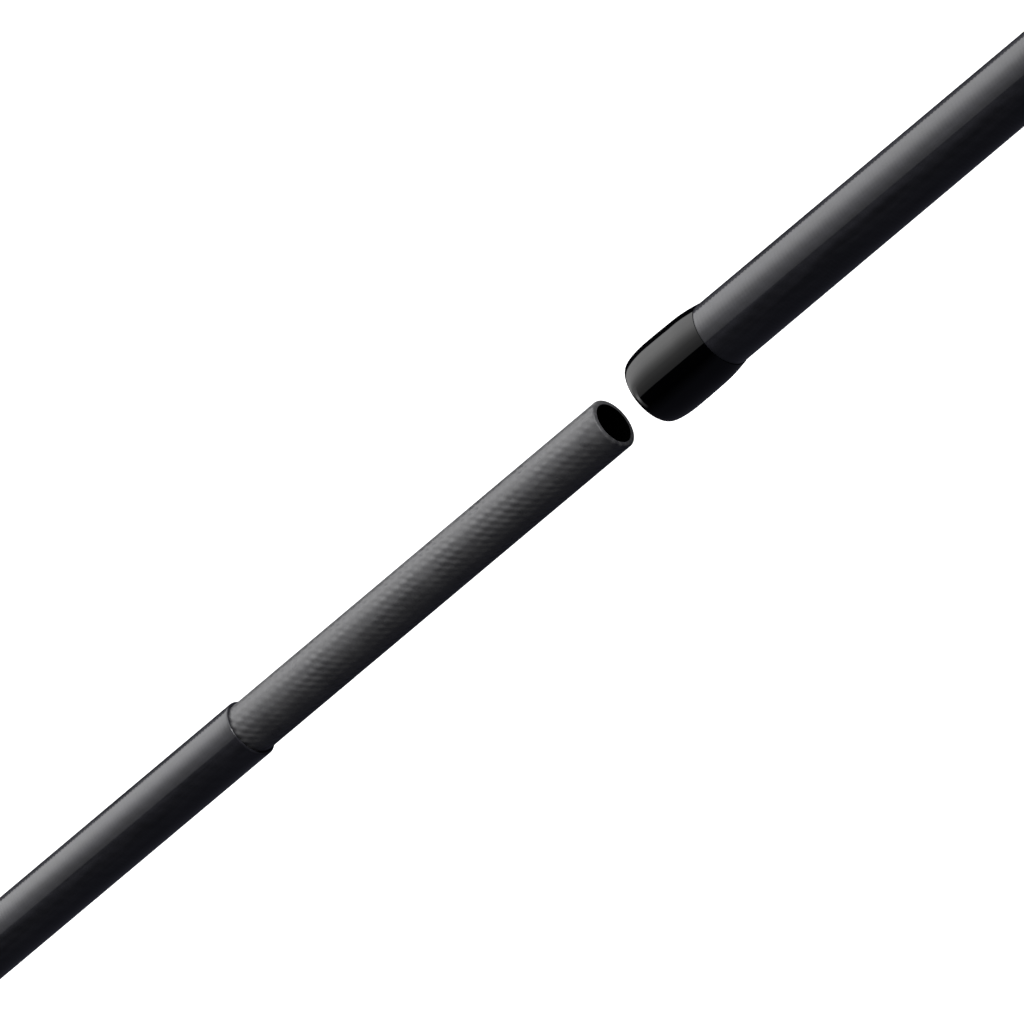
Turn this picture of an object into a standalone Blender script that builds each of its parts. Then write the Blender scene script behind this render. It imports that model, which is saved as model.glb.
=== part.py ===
"""A two-piece spinning rod with its ferrule pulled apart, ready to be pushed together.

Metres, +Z up. The rod lies along +X from the butt cap at the origin, with the reel seat's
saddle and the line guides underneath, on the -Z side.
"""

import math

import bmesh
import bpy
from mathutils import Matrix, Vector

# Facets of every turned piece, the same on all of them so that nested sleeves stay clear.
FACETS = 24
RING_FACETS = 20
WIRE_FACETS = 6

# Gaps between pieces that touch on the real rod.
SLIP = 0.0001
FACE_GAP = 0.0003

# Handle, from the butt cap forward.
CAP_LENGTH = 0.012
CAP_RADIUS = 0.0128
CAP_FLOOR = 0.004
TRIM_LENGTH = 0.003
REAR_GRIP_LENGTH = 0.199
GRIP_RADIUS = 0.0120
CHECK_LENGTH = 0.004
SEAT_LENGTH = 0.104
SEAT_RADIUS = 0.0096
THREAD_RADIUS = 0.0092
THREAD_LENGTH = 0.052
FORE_GRIP_LENGTH = 0.048

# Reel seat: two flats under the barrel, and hoods that reach under a reel foot.
SADDLE_DROP = 0.0084
HOOD_FLAT_DROP = 0.0080
SADDLE_START = 0.0545
SADDLE_END = 0.0775
NUT_LENGTH = 0.012
NUT_RADIUS = 0.0122
NUT_BORE = 0.0102
HOOD_LENGTH = 0.024
FIXED_HOOD_LENGTH = 0.022
HOOD_RADIUS = 0.0118
HOOD_BORE = 0.00985
POCKET_DEPTH = 0.0129
POCKET_HALF_WIDTH = 0.0054
POCKET_WALL = 0.002
HOOD_BACK = 0.004

# Butt section: the blank ends at the shoulder, where the spigot comes out of it.
SHOULDER = 1.0443
BUTT_OUTSIDE = ((0.0, 0.00638), (SHOULDER, 0.00450))
BUTT_INSIDE = ((0.0, 0.00520), (SHOULDER, 0.00409))
BUTT_EDGE = 0.00026
SPIGOT_ROOT_RADIUS = 0.00403
SPIGOT_TIP_RADIUS = 0.00391
SPIGOT_BORE = 0.00302
SPIGOT_HIDDEN = 0.060
SPIGOT_SHOWN = 0.0783

# Tip section, measured from the mouth of its socket.
MOUTH_GAP = 0.0079
MOUTH = SHOULDER + SPIGOT_SHOWN + MOUTH_GAP
SOCKET_START = 0.0010
SOCKET_LENGTH = 0.092
SOCKET_CLEARANCE = 0.00010
TIP_OUTSIDE = (
    (0.0, 0.00505),
    (SOCKET_LENGTH, 0.00480),
    (0.300, 0.00420),
    (0.600, 0.00295),
    (0.900, 0.00160),
    (1.078, 0.00090),
)
TIP_BLANK_END = 1.078
TIP_INSIDE = ((SOCKET_LENGTH, 0.0036), (0.300, 0.0030), (0.600, 0.0019), (0.850, 0.0008))
CLOSED_GAP = 0.0055

# Collar whipped over the socket's mouth.
COLLAR_LENGTH = 0.0150
COLLAR_LIP_RADIUS = 0.00489
COLLAR_MAX_RADIUS = 0.00567
COLLAR_NOSE = 0.00447
COLLAR_SHOULDER_START = 0.01067
COLLAR_SHOULDER_RADIUS = 0.00557
COLLAR_TAIL_RADIUS = 0.00523

# Line guides: name, distance of the ring along its section, ring size.
BUTT_GUIDE = ("guide_1", 0.839, 0.025)
TIP_GUIDES = (
    ("guide_2", 0.1435, 0.016),
    ("guide_3", 0.3975, 0.012),
    ("guide_4", 0.5885, 0.008),
    ("guide_5", 0.7405, 0.007),
    ("guide_6", 0.8675, 0.006),
    ("guide_7", 0.9815, 0.0055),
)
TWO_FOOTED = ("guide_1", "guide_2")
GUIDE_LEAN = math.radians(10)
TIP_RING_SIZE = 0.0055
TIP_TOP_LENGTH = 0.0125

# Hook keeper in front of the fore grip.
KEEPER_AHEAD = 0.022
KEEPER_WIRE = 0.0005
KEEPER_RING_RADIUS = 0.0040


def clear_scene():
    for old in list(bpy.data.objects):
        bpy.data.objects.remove(old)


def new_collection(name):
    collection = bpy.data.collections.new(name)
    bpy.context.scene.collection.children.link(collection)
    return collection


def new_material(name, color, roughness, metallic=0.0):
    material = bpy.data.materials.new(name)
    material.use_nodes = True
    shader = material.node_tree.nodes["Principled BSDF"]
    shader.inputs["Base Color"].default_value = (*color, 1.0)
    shader.inputs["Roughness"].default_value = roughness
    shader.inputs["Metallic"].default_value = metallic
    return material


def radius_at(profile, x):
    """The radius at x of an outline given as (x, radius) points, along straight lines."""
    for (x0, r0), (x1, r1) in zip(profile, profile[1:]):
        if x <= x1:
            return r0 + (r1 - r0) * (x - x0) / (x1 - x0)
    return profile[-1][1]


def points_between(profile, start, end):
    inner = [point for point in profile if start < point[0] < end]
    return [(start, radius_at(profile, start)), *inner, (end, radius_at(profile, end))]


def add_object(name, mesh, collection, parent=None, place=(0, 0, 0)):
    made = bpy.data.objects.new(name, mesh)
    collection.objects.link(made)
    made.location = place
    made.parent = parent
    return made


def finish(made, look):
    """Gives a piece its own material and smooth shading that keeps its sharp edges."""
    color, roughness, metallic = look
    made.data.materials.clear()
    made.data.materials.append(new_material(made.name, color, roughness, metallic))
    made.data.polygons.foreach_set("use_smooth", [True] * len(made.data.polygons))
    made.data.set_sharp_from_angle(angle=math.radians(35))
    return made


def turned(name, outline, collection, parent=None, place=(0, 0, 0), facets=FACETS):
    """A piece turned about its own X axis. A closed outline makes a sleeve, and an outline
    whose ends lie on the axis makes a solid. Outlines run towards +X along the outside."""
    on_axis = outline[0][1] == 0 and outline[-1][1] == 0
    mesh = bpy.data.meshes.new(name)
    count = len(outline)
    edges = [(i, (i + 1) % count) for i in range(count - 1 if on_axis else count)]
    mesh.from_pydata([(x, 0, r) for x, r in outline], edges, [])
    made = add_object(name, mesh, collection, parent, place)
    screw = made.modifiers.new("Turn", "SCREW")
    screw.axis = "X"
    screw.angle = math.tau
    screw.steps = facets
    screw.render_steps = facets
    screw.use_merge_vertices = True
    screw.merge_threshold = 0.00001
    screw.use_normal_flip = True
    return made


def sleeve(outside, inside):
    """The closed outline of a tube from its outside and inside, both listed towards +X."""
    return [*outside, *reversed(inside)]


def settle(made):
    """Applies a piece's modifiers to its mesh, so that cuts and joins start from real faces."""
    graph = bpy.context.evaluated_depsgraph_get()
    mesh = bpy.data.meshes.new_from_object(made.evaluated_get(graph))
    made.modifiers.clear()
    made.data = mesh
    mesh.name = made.name
    return made


def box(name, low, high, collection, parent=None):
    bpy.ops.mesh.primitive_cube_add(size=1)
    made = bpy.context.object
    made.name = name
    for owner in list(made.users_collection):
        owner.objects.unlink(made)
    collection.objects.link(made)
    size = [b - a for a, b in zip(low, high)]
    middle = [(a + b) / 2 for a, b in zip(low, high)]
    made.data.transform(Matrix.Diagonal((*size, 1)))
    made.location = middle
    made.parent = parent
    return made


def wire(name, points, thickness, collection, parent=None, place=(0, 0, 0)):
    """A round wire through the points, as a closed mesh."""
    curve = bpy.data.curves.new(name, "CURVE")
    curve.dimensions = "3D"
    curve.bevel_depth = thickness
    curve.bevel_resolution = 1
    curve.use_fill_caps = True
    spline = curve.splines.new("POLY")
    spline.points.add(len(points) - 1)
    for target, point in zip(spline.points, points):
        target.co = (*point, 1)
    drawn = add_object(name + "_path", curve, collection)
    bpy.context.view_layer.update()
    mesh = bpy.data.meshes.new_from_object(
        drawn.evaluated_get(bpy.context.evaluated_depsgraph_get())
    )
    bpy.data.objects.remove(drawn)
    weld(mesh)
    return add_object(name, mesh, collection, parent, place)


def weld(mesh):
    work = bmesh.new()
    work.from_mesh(mesh)
    bmesh.ops.remove_doubles(work, verts=work.verts, dist=0.000001)
    bmesh.ops.recalc_face_normals(work, faces=work.faces)
    work.to_mesh(mesh)
    work.free()


def ring(name, major, minor, collection, parent, place, lean=0.0):
    """A torus round an axis along X, leant about Y."""
    bpy.ops.mesh.primitive_torus_add(
        major_radius=major,
        minor_radius=minor,
        major_segments=RING_FACETS,
        minor_segments=WIRE_FACETS,
    )
    made = bpy.context.object
    made.name = name
    for owner in list(made.users_collection):
        owner.objects.unlink(made)
    collection.objects.link(made)
    made.data.transform(Matrix.Rotation(math.pi / 2 - lean, 4, "Y"))
    made.location = place
    made.parent = parent
    return made


def use_tool(made, tool, operation):
    """Cuts a piece with a helper, or joins the helper to it, with an exact Boolean."""
    tool.hide_render = True
    tool.display_type = "WIRE"
    change = made.modifiers.new(tool.name, "BOOLEAN")
    change.operation = operation
    change.object = tool
    change.solver = "EXACT"


def cut(made, *tools):
    for tool in tools:
        use_tool(made, tool, "DIFFERENCE")


def join(made, *tools):
    for tool in tools:
        use_tool(made, tool, "UNION")


def blank_sleeve_inside(blank, start, end, gap=SLIP):
    """A bore that clears the blank all along, so that a sleeve can sit on the taper."""
    return [(x, r + gap) for x, r in points_between(blank, start, end)]


def foot_sizes(size):
    """Wire radius, ceramic radius, foot thickness, width and length of a guide of this size."""
    wire_radius = 0.0004 + 0.024 * size
    ceramic = 0.0004 + 0.022 * size
    return wire_radius, ceramic, 0.8 * wire_radius + 0.0001, 0.0012 + 0.07 * size, 0.006 + 0.34 * size


def wrap(name, blank, start, end, foot, body, parts, tools):
    """A thread wrap under epoxy round the blank, with a groove for the guide foot below it.
    foot is (depth, half width, near x, far x) of the groove, or None."""
    rise = 0.0014 if foot is None else foot[0] + 0.00030
    inside = blank_sleeve_inside(blank, start, end)
    first, last = inside[0][1], inside[-1][1]
    run = min(0.003, (end - start) / 4)
    crown = 0.0004 if foot is None else rise
    outside = [
        (start, first + 0.00012),
        (start + run, radius_at(blank, start + run) + SLIP + crown),
        (end - run, radius_at(blank, end - run) + SLIP + crown),
        (end, last + 0.00012),
    ]
    place = (start, 0, 0)
    made = turned(
        name,
        [(x - start, r) for x, r in sleeve(outside, inside)],
        parts,
        body,
        place,
    )
    settle(made)
    if foot is not None:
        depth, half_width, near, far = foot
        low = (near, -half_width, -radius_at(blank, (near + far) / 2) - depth)
        groove = box(name + "_groove", low, (far, half_width, 0), tools, body)
        cut(made, groove)
        settle(made)
    return finish(made, LOOKS["wrap"])


def guide(name, blank, x, size, body, parts, tools, two_footed):
    """A line guide: a wire frame with one or two feet, a ceramic ring and its wraps."""
    wire_radius, ceramic, foot_thick, foot_width, foot_length = foot_sizes(size)
    blank_radius = radius_at(blank, x - foot_length) + SLIP
    depth = blank_radius + 1.05 * size
    holder = size / 2 + SLIP + wire_radius
    centre = Vector((x, 0, -depth))
    frame = ring(name + "_frame", holder, wire_radius, parts, body, centre, GUIDE_LEAN)
    insert = ring(
        name + "_ring", size / 2 - ceramic, ceramic, parts, body, centre, GUIDE_LEAN
    )
    sides = [(1, 1), (1, -1)]
    if two_footed:
        sides += [(-1, 1), (-1, -1)]
    reach = 0.75 * size + 0.002
    wire_top = -(blank_radius + SLIP + wire_radius)
    for toward, side in sides:
        angle = math.radians(58 if toward > 0 else 28)
        up = holder * math.cos(angle)
        start = (
            -math.sin(GUIDE_LEAN) * up,
            side * holder * math.sin(angle),
            up * math.cos(GUIDE_LEAN),
        )
        knee_x = toward * reach
        edge = side * wire_radius
        leg = wire(
            f"{name}_leg_{toward}_{side}",
            [
                start,
                (toward * 0.72 * reach, edge * 1.5, depth + wire_top - 0.10 * size),
                (knee_x, edge, depth + wire_top),
                (knee_x + toward * 0.0025, edge, depth + wire_top),
            ],
            wire_radius * 0.8,
            tools,
            body,
            centre,
        )
        join(frame, leg)
    for toward in (1, -1) if two_footed else (1,):
        near = x + toward * reach
        far = near + toward * foot_length
        low_x, high_x = min(near, far), max(near, far)
        foot = box(
            f"{name}_foot_{toward}",
            (low_x, -foot_width / 2, -blank_radius - SLIP - foot_thick),
            (high_x, foot_width / 2, -blank_radius - SLIP),
            tools,
            body,
        )
        join(frame, foot)
        entry = near + toward * 0.0040
        groove_near = entry - toward * 0.001
        groove_far = far + toward * FACE_GAP
        end = far + toward * 0.0035
        groove = (foot_thick + 0.00035 + blank_radius - radius_at(blank, x), foot_width / 2 + 0.0002)
        label = "_front_wrap" if toward > 0 else "_rear_wrap"
        wrap(
            name + (label if two_footed else "_wrap"),
            blank,
            min(entry, end),
            max(entry, end),
            (*groove, min(groove_near, groove_far), max(groove_near, groove_far)),
            body,
            parts,
            tools,
        )
    finish(settle(frame), LOOKS["frame"])
    finish(insert, LOOKS["ceramic"])


LOOKS = {
    "blank": ((0.010, 0.011, 0.016), 0.12, 0.0),
    "spigot": ((0.045, 0.047, 0.052), 0.38, 0.2),
    "collar": ((0.004, 0.004, 0.005), 0.06, 0.0),
    "foam": ((0.018, 0.018, 0.019), 0.85, 0.0),
    "rubber": ((0.012, 0.012, 0.013), 0.6, 0.0),
    "trim": ((0.45, 0.46, 0.48), 0.28, 1.0),
    "seat": ((0.012, 0.012, 0.014), 0.35, 0.0),
    "hood": ((0.30, 0.31, 0.33), 0.25, 1.0),
    "nut": ((0.35, 0.36, 0.38), 0.30, 1.0),
    "arbor": ((0.62, 0.58, 0.45), 0.8, 0.0),
    "frame": ((0.16, 0.165, 0.175), 0.28, 1.0),
    "ceramic": ((0.030, 0.031, 0.034), 0.15, 0.0),
    "wrap": ((0.012, 0.013, 0.018), 0.12, 0.0),
}


def rounded(start, end, radius, edge):
    """The outside of a plain cylinder whose two edges are rounded, from start to end."""
    return [
        (start, radius - edge),
        (start + 0.3 * edge, radius - 0.3 * edge),
        (start + edge, radius),
        (end - edge, radius),
        (end - 0.3 * edge, radius - 0.3 * edge),
        (end, radius - edge),
    ]


def on_blank(name, outside, look, parts, body):
    """A sleeve round the butt blank with the given outside, listed towards +X."""
    start, end = outside[0][0], outside[-1][0]
    inside = blank_sleeve_inside(BUTT_OUTSIDE, start, end)
    outline = [(x - start, r) for x, r in sleeve(outside, inside)]
    return finish(turned(name, outline, parts, body, (start, 0, 0)), look)


def build_handle(parts, tools, body):
    blank_start = CAP_FLOOR + FACE_GAP
    cap_bore = radius_at(BUTT_OUTSIDE, blank_start) + SLIP
    cap = [
        (0, 0),
        (0, CAP_RADIUS - 0.0022),
        (0.0007, CAP_RADIUS - 0.0007),
        (0.0022, CAP_RADIUS),
        (CAP_LENGTH, CAP_RADIUS - 0.0006),
        (CAP_LENGTH, cap_bore),
        (CAP_FLOOR, cap_bore),
        (CAP_FLOOR, 0),
    ]
    finish(turned("butt_cap", cap, parts, body), LOOKS["rubber"])

    trim_start = CAP_LENGTH + FACE_GAP
    trim = rounded(trim_start, trim_start + TRIM_LENGTH, CAP_RADIUS - 0.0004, 0.0005)
    on_blank("butt_trim_ring", trim, LOOKS["trim"], parts, body)

    grip_start = trim_start + TRIM_LENGTH + FACE_GAP
    grip_end = grip_start + REAR_GRIP_LENGTH
    rear_grip = [
        (grip_start, GRIP_RADIUS - 0.0004),
        (grip_start + 0.004, GRIP_RADIUS + 0.0005),
        (grip_start + 0.030, GRIP_RADIUS + 0.0002),
        (grip_start + 0.085, GRIP_RADIUS - 0.0016),
        (grip_start + 0.130, GRIP_RADIUS - 0.0018),
        (grip_end - 0.020, GRIP_RADIUS - 0.0004),
        (grip_end - 0.003, GRIP_RADIUS + 0.0001),
        (grip_end, GRIP_RADIUS - 0.0006),
    ]
    on_blank("rear_grip", rear_grip, LOOKS["foam"], parts, body)

    check_start = grip_end + FACE_GAP
    check = rounded(check_start, check_start + CHECK_LENGTH, GRIP_RADIUS - 0.0002, 0.0006)
    on_blank("rear_check", check, LOOKS["trim"], parts, body)
    return check_start + CHECK_LENGTH + FACE_GAP


def hood(name, start, length, back_first, parts, tools, body):
    """A sleeve with a hump below it, hollowed for the reel foot and open at one end."""
    end = start + length
    outline = sleeve(rounded(0, length, HOOD_RADIUS, 0.0008), [(0, HOOD_BORE), (length, HOOD_BORE)])
    made = settle(turned(name, outline, parts, body, (start, 0, 0)))
    hump_low = -(POCKET_DEPTH + POCKET_WALL)
    hump_side = POCKET_HALF_WIDTH + POCKET_WALL
    hump = box(
        name + "_hump",
        (start + 0.0012, -hump_side, hump_low),
        (end - 0.0012, hump_side, -HOOD_BORE + 0.0030),
        tools,
        body,
    )
    soften = hump.modifiers.new("Round", "BEVEL")
    soften.width = 0.0016
    soften.segments = 2
    clear_bore = turned(
        name + "_bore",
        [(-0.005, 0), (-0.005, HOOD_BORE), (length + 0.005, HOOD_BORE), (length + 0.005, 0)],
        tools,
        body,
        (start, 0, 0),
    )
    pocket_start = start + HOOD_BACK if back_first else start - 0.005
    pocket_end = end + 0.005 if back_first else end - HOOD_BACK
    pocket = box(
        name + "_pocket",
        (pocket_start, -POCKET_HALF_WIDTH, -POCKET_DEPTH),
        (pocket_end, POCKET_HALF_WIDTH, -0.004),
        tools,
        body,
    )
    join(made, hump)
    cut(made, clear_bore, pocket)
    return finish(settle(made), LOOKS["hood"])


def build_reel_seat(start, parts, tools, body, hood_body, nut_body):
    end = start + SEAT_LENGTH
    fixed_start = end - FIXED_HOOD_LENGTH - 0.001
    bore = radius_at(BUTT_OUTSIDE, start) + 0.0014
    outside = [
        (0, THREAD_RADIUS - 0.0004),
        (0.0004, THREAD_RADIUS),
        (THREAD_LENGTH, THREAD_RADIUS),
        (THREAD_LENGTH + 0.0002, SEAT_RADIUS),
        (SEAT_LENGTH - 0.0004, SEAT_RADIUS),
        (SEAT_LENGTH, SEAT_RADIUS - 0.0004),
    ]
    outline = sleeve(outside, [(0, bore), (SEAT_LENGTH, bore)])
    seat = settle(turned("reel_seat_body", outline, parts, body, (start, 0, 0)))
    reach = 0.0120
    rear_flat = box(
        "seat_rear_flat",
        (start + NUT_LENGTH + 0.003, -reach, -0.014),
        (start + SADDLE_START, reach, -HOOD_FLAT_DROP),
        tools,
        body,
    )
    front_flat = box(
        "seat_front_flat",
        (start + SADDLE_END, -reach, -0.014),
        (fixed_start + FIXED_HOOD_LENGTH - HOOD_BACK, reach, -HOOD_FLAT_DROP),
        tools,
        body,
    )
    saddle = box(
        "seat_saddle",
        (start + SADDLE_START - 0.0005, -reach, -0.014),
        (start + SADDLE_END + 0.0005, reach, -SADDLE_DROP),
        tools,
        body,
    )
    cut(seat, rear_flat, front_flat, saddle)
    finish(settle(seat), LOOKS["seat"])

    for name, arbor_start in (("rear_arbor", start + 0.010), ("front_arbor", start + 0.068)):
        arbor_length = 0.026
        inside = blank_sleeve_inside(BUTT_OUTSIDE, arbor_start, arbor_start + arbor_length)
        outer = [(arbor_start, bore - SLIP), (arbor_start + arbor_length, bore - SLIP)]
        outline = [(x - arbor_start, r) for x, r in sleeve(outer, inside)]
        arbor = turned(name, outline, parts, body, (arbor_start, 0, 0))
        finish(arbor, LOOKS["arbor"])

    nut_start = start + 0.003
    nut_outside = [
        (0, NUT_RADIUS - 0.0012),
        (0.0012, NUT_RADIUS),
        (NUT_LENGTH - 0.0035, NUT_RADIUS),
        (NUT_LENGTH, NUT_RADIUS - 0.0012),
    ]
    nut = turned(
        "lock_nut", sleeve(nut_outside, [(0, NUT_BORE), (NUT_LENGTH, NUT_BORE)]), parts, nut_body
    )
    finish(nut, LOOKS["nut"])
    nut_body.location = (nut_start, 0, 0)
    hood_start = nut_start + NUT_LENGTH + FACE_GAP
    hood("movable_hood", hood_start, HOOD_LENGTH, True, parts, tools, hood_body)
    hood("fixed_hood", fixed_start, FIXED_HOOD_LENGTH, False, parts, tools, body)
    return end + FACE_GAP


def build_fore_grip(start, parts, body):
    end = start + FORE_GRIP_LENGTH
    fore_grip = [
        (start, GRIP_RADIUS - 0.0007),
        (start + 0.0025, GRIP_RADIUS),
        (start + 0.020, GRIP_RADIUS - 0.0011),
        (end - 0.012, 0.0090),
        (end, 0.0080),
    ]
    on_blank("fore_grip", fore_grip, LOOKS["foam"], parts, body)
    check_start = end + FACE_GAP
    check = [
        (check_start, 0.0080),
        (check_start + 0.0010, 0.0080),
        (check_start + CHECK_LENGTH, radius_at(BUTT_OUTSIDE, check_start) + 0.0006),
    ]
    on_blank("fore_check", check, LOOKS["trim"], parts, body)
    return check_start + CHECK_LENGTH


def build_keeper(x, parts, tools, body, ring_body):
    """A wire arch held by two wraps, with a loose ring through it."""
    surface = radius_at(BUTT_OUTSIDE, x - 0.012) + SLIP
    foot = -(surface + SLIP + KEEPER_WIRE)
    peak = -(surface + 0.0027)
    path = [
        (-0.0110, 0, foot),
        (-0.0040, 0, foot),
        (-0.0024, 0, peak + 0.0003),
        (-0.0015, 0, peak),
        (0.0015, 0, peak),
        (0.0024, 0, peak + 0.0003),
        (0.0040, 0, foot),
        (0.0110, 0, foot),
    ]
    arch = wire("keeper_arch", path, KEEPER_WIRE, parts, body, (x, 0, 0))
    finish(arch, LOOKS["frame"])
    pivot = -(surface + 0.0013)
    ring_body.location = (x, 0, pivot)
    keeper = ring(
        "keeper_ring",
        KEEPER_RING_RADIUS,
        KEEPER_WIRE,
        parts,
        ring_body,
        (0, 0, -KEEPER_RING_RADIUS),
    )
    finish(keeper, LOOKS["frame"])
    groove = (2 * KEEPER_WIRE + 0.00035, KEEPER_WIRE + 0.0002)
    for name, toward in (("keeper_rear_wrap", -1), ("keeper_front_wrap", 1)):
        entry = x + toward * 0.0048
        far = x + toward * (0.0110 + FACE_GAP)
        end = x + toward * 0.0138
        near_cut = entry - toward * 0.001
        wrap(
            name,
            BUTT_OUTSIDE,
            min(entry, end),
            max(entry, end),
            (*groove, min(near_cut, far), max(near_cut, far)),
            body,
            parts,
            tools,
        )


def build_butt_blank(parts, body):
    start = CAP_FLOOR + FACE_GAP
    edge = BUTT_EDGE
    end_radius = radius_at(BUTT_OUTSIDE, SHOULDER)
    outside = [
        (start, radius_at(BUTT_OUTSIDE, start)),
        (SHOULDER - edge, end_radius),
        (SHOULDER - 0.3 * edge, end_radius - 0.3 * edge),
        (SHOULDER, end_radius - edge),
    ]
    inside = [(start, radius_at(BUTT_INSIDE, start)), (SHOULDER, radius_at(BUTT_INSIDE, SHOULDER))]
    outline = [(x - start, r) for x, r in sleeve(outside, inside)]
    finish(turned("butt_blank", outline, parts, body, (start, 0, 0)), LOOKS["blank"])


def build_spigot(parts, body):
    hidden = -SPIGOT_HIDDEN
    glued = radius_at(BUTT_INSIDE, SHOULDER + hidden) - 0.00006
    edge = 0.00028
    outline = sleeve(
        [
            (hidden, glued - edge),
            (hidden + edge, glued),
            (0, SPIGOT_ROOT_RADIUS),
            (SPIGOT_SHOWN - edge, SPIGOT_TIP_RADIUS),
            (SPIGOT_SHOWN - 0.3 * edge, SPIGOT_TIP_RADIUS - 0.3 * edge),
            (SPIGOT_SHOWN, SPIGOT_TIP_RADIUS - edge),
        ],
        [(hidden, SPIGOT_BORE), (SPIGOT_SHOWN, SPIGOT_BORE)],
    )
    spigot = turned("spigot", outline, parts, body, (SHOULDER, 0, 0))
    finish(spigot, LOOKS["spigot"])


def spigot_radius(from_shoulder):
    share = from_shoulder / SPIGOT_SHOWN
    return SPIGOT_ROOT_RADIUS + (SPIGOT_TIP_RADIUS - SPIGOT_ROOT_RADIUS) * share


def build_tip_blank(parts, body):
    """The tip blank in two pieces: its socket end, which stays open, and the rest."""
    deepest = SPIGOT_SHOWN - CLOSED_GAP + 0.004
    bore_mouth = spigot_radius(CLOSED_GAP) + SOCKET_CLEARANCE
    bore_end = spigot_radius(SPIGOT_SHOWN) + SOCKET_CLEARANCE
    socket_inside = [
        (SOCKET_START, bore_mouth),
        (deepest, bore_end),
        (deepest + 0.003, radius_at(TIP_INSIDE, SOCKET_LENGTH)),
        (SOCKET_LENGTH, radius_at(TIP_INSIDE, SOCKET_LENGTH)),
    ]
    socket = sleeve(points_between(TIP_OUTSIDE, SOCKET_START, SOCKET_LENGTH), socket_inside)
    finish(turned("tip_socket", socket, parts, body), LOOKS["blank"])
    start = SOCKET_LENGTH + FACE_GAP
    outside = points_between(TIP_OUTSIDE, start, TIP_BLANK_END)
    bore_stop = TIP_INSIDE[-1][0]
    bore = points_between(TIP_INSIDE, start, bore_stop)
    outline = [(bore_stop + 0.002, 0), *reversed(bore), *outside, (TIP_BLANK_END, 0)]
    finish(turned("tip_blank", outline, parts, body), LOOKS["blank"])


def build_collar(parts, body):
    """The rounded collar over the socket's mouth, with a lip in front of the tube's end."""
    arc = [
        (
            COLLAR_NOSE * (1 - math.cos(turn)),
            COLLAR_LIP_RADIUS + (COLLAR_MAX_RADIUS - COLLAR_LIP_RADIUS) * math.sin(turn),
        )
        for turn in (math.radians(15 * step) for step in range(7))
    ]
    shoulder = COLLAR_LENGTH - COLLAR_SHOULDER_START
    drop = COLLAR_SHOULDER_RADIUS - COLLAR_TAIL_RADIUS
    fall = [
        (COLLAR_SHOULDER_START + shoulder * q, COLLAR_SHOULDER_RADIUS - drop * q * q)
        for q in (0, 0.25, 0.5, 0.75, 1)
    ]
    bore_mouth = spigot_radius(CLOSED_GAP) + 2 * SOCKET_CLEARANCE
    tube = radius_at(TIP_OUTSIDE, SOCKET_START) + 0.00006
    tail = radius_at(TIP_OUTSIDE, COLLAR_LENGTH) + 0.00006
    step = SOCKET_START - 0.0002
    inside = [
        (0, bore_mouth + 0.0003),
        (0.0002, bore_mouth),
        (step, bore_mouth),
        (step, tube),
        (COLLAR_LENGTH, tail),
    ]
    outline = sleeve([*arc, *fall], inside)
    finish(turned("ferrule_collar", outline, parts, body), LOOKS["collar"])


def build_tip_top(parts, tools, body):
    """A tube over the end of the blank that carries the last ring on two wires."""
    wire_radius, ceramic, _, _, _ = foot_sizes(TIP_RING_SIZE)
    start = TIP_BLANK_END - 0.0100
    inner = radius_at(TIP_OUTSIDE, start) + SLIP
    outer = inner + 0.0004
    length = TIP_TOP_LENGTH
    outline = [
        (TIP_BLANK_END + FACE_GAP - start, 0),
        (TIP_BLANK_END + FACE_GAP - start, inner),
        (0, inner),
        (0, outer),
        (length - 0.0008, outer),
        (length, outer - 0.0006),
        (length, 0),
    ]
    tube = settle(turned("tip_top_frame", outline, parts, body, (start, 0, 0)))
    holder = TIP_RING_SIZE / 2 + SLIP + wire_radius
    lean = math.radians(20)
    centre = Vector((start + length + 0.0030, 0, -0.0012))
    frame = ring("tip_top_holder", holder, wire_radius, tools, body, centre, lean)
    join(tube, frame)
    for side in (1, -1):
        strut = wire(
            f"tip_top_strut_{side}",
            [
                (start + 0.0035, side * 0.0006, -outer - 0.0001),
                (start + 0.0075, side * 0.0008, -outer - 0.0002),
                (centre.x - 0.0012, side * 0.0024, centre.z - 0.55 * holder),
                (
                    centre.x + math.sin(lean) * 0.5 * holder,
                    side * 0.86 * holder,
                    centre.z - math.cos(lean) * 0.5 * holder,
                ),
            ],
            wire_radius * 0.75,
            tools,
            body,
        )
        join(tube, strut)
    neck = wire(
        "tip_top_neck",
        [
            (start + length - 0.0016, 0, 0),
            (centre.x - math.sin(lean) * holder, 0, centre.z + holder * math.cos(lean)),
        ],
        wire_radius * 0.9,
        tools,
        body,
    )
    join(tube, neck)
    finish(settle(tube), LOOKS["frame"])
    insert = ring(
        "tip_top_ring", TIP_RING_SIZE / 2 - ceramic, ceramic, parts, body, centre, lean
    )
    finish(insert, LOOKS["ceramic"])
    wrap_end = start - FACE_GAP
    wrap(
        "tip_top_wrap", TIP_OUTSIDE, wrap_end - 0.008, wrap_end, None, body, parts, tools
    )


def add_empty(name, place, collection, parent=None):
    made = bpy.data.objects.new(name, None)
    collection.objects.link(made)
    made.empty_display_size = 0.02
    made.location = place
    made.parent = parent
    return made


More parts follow.
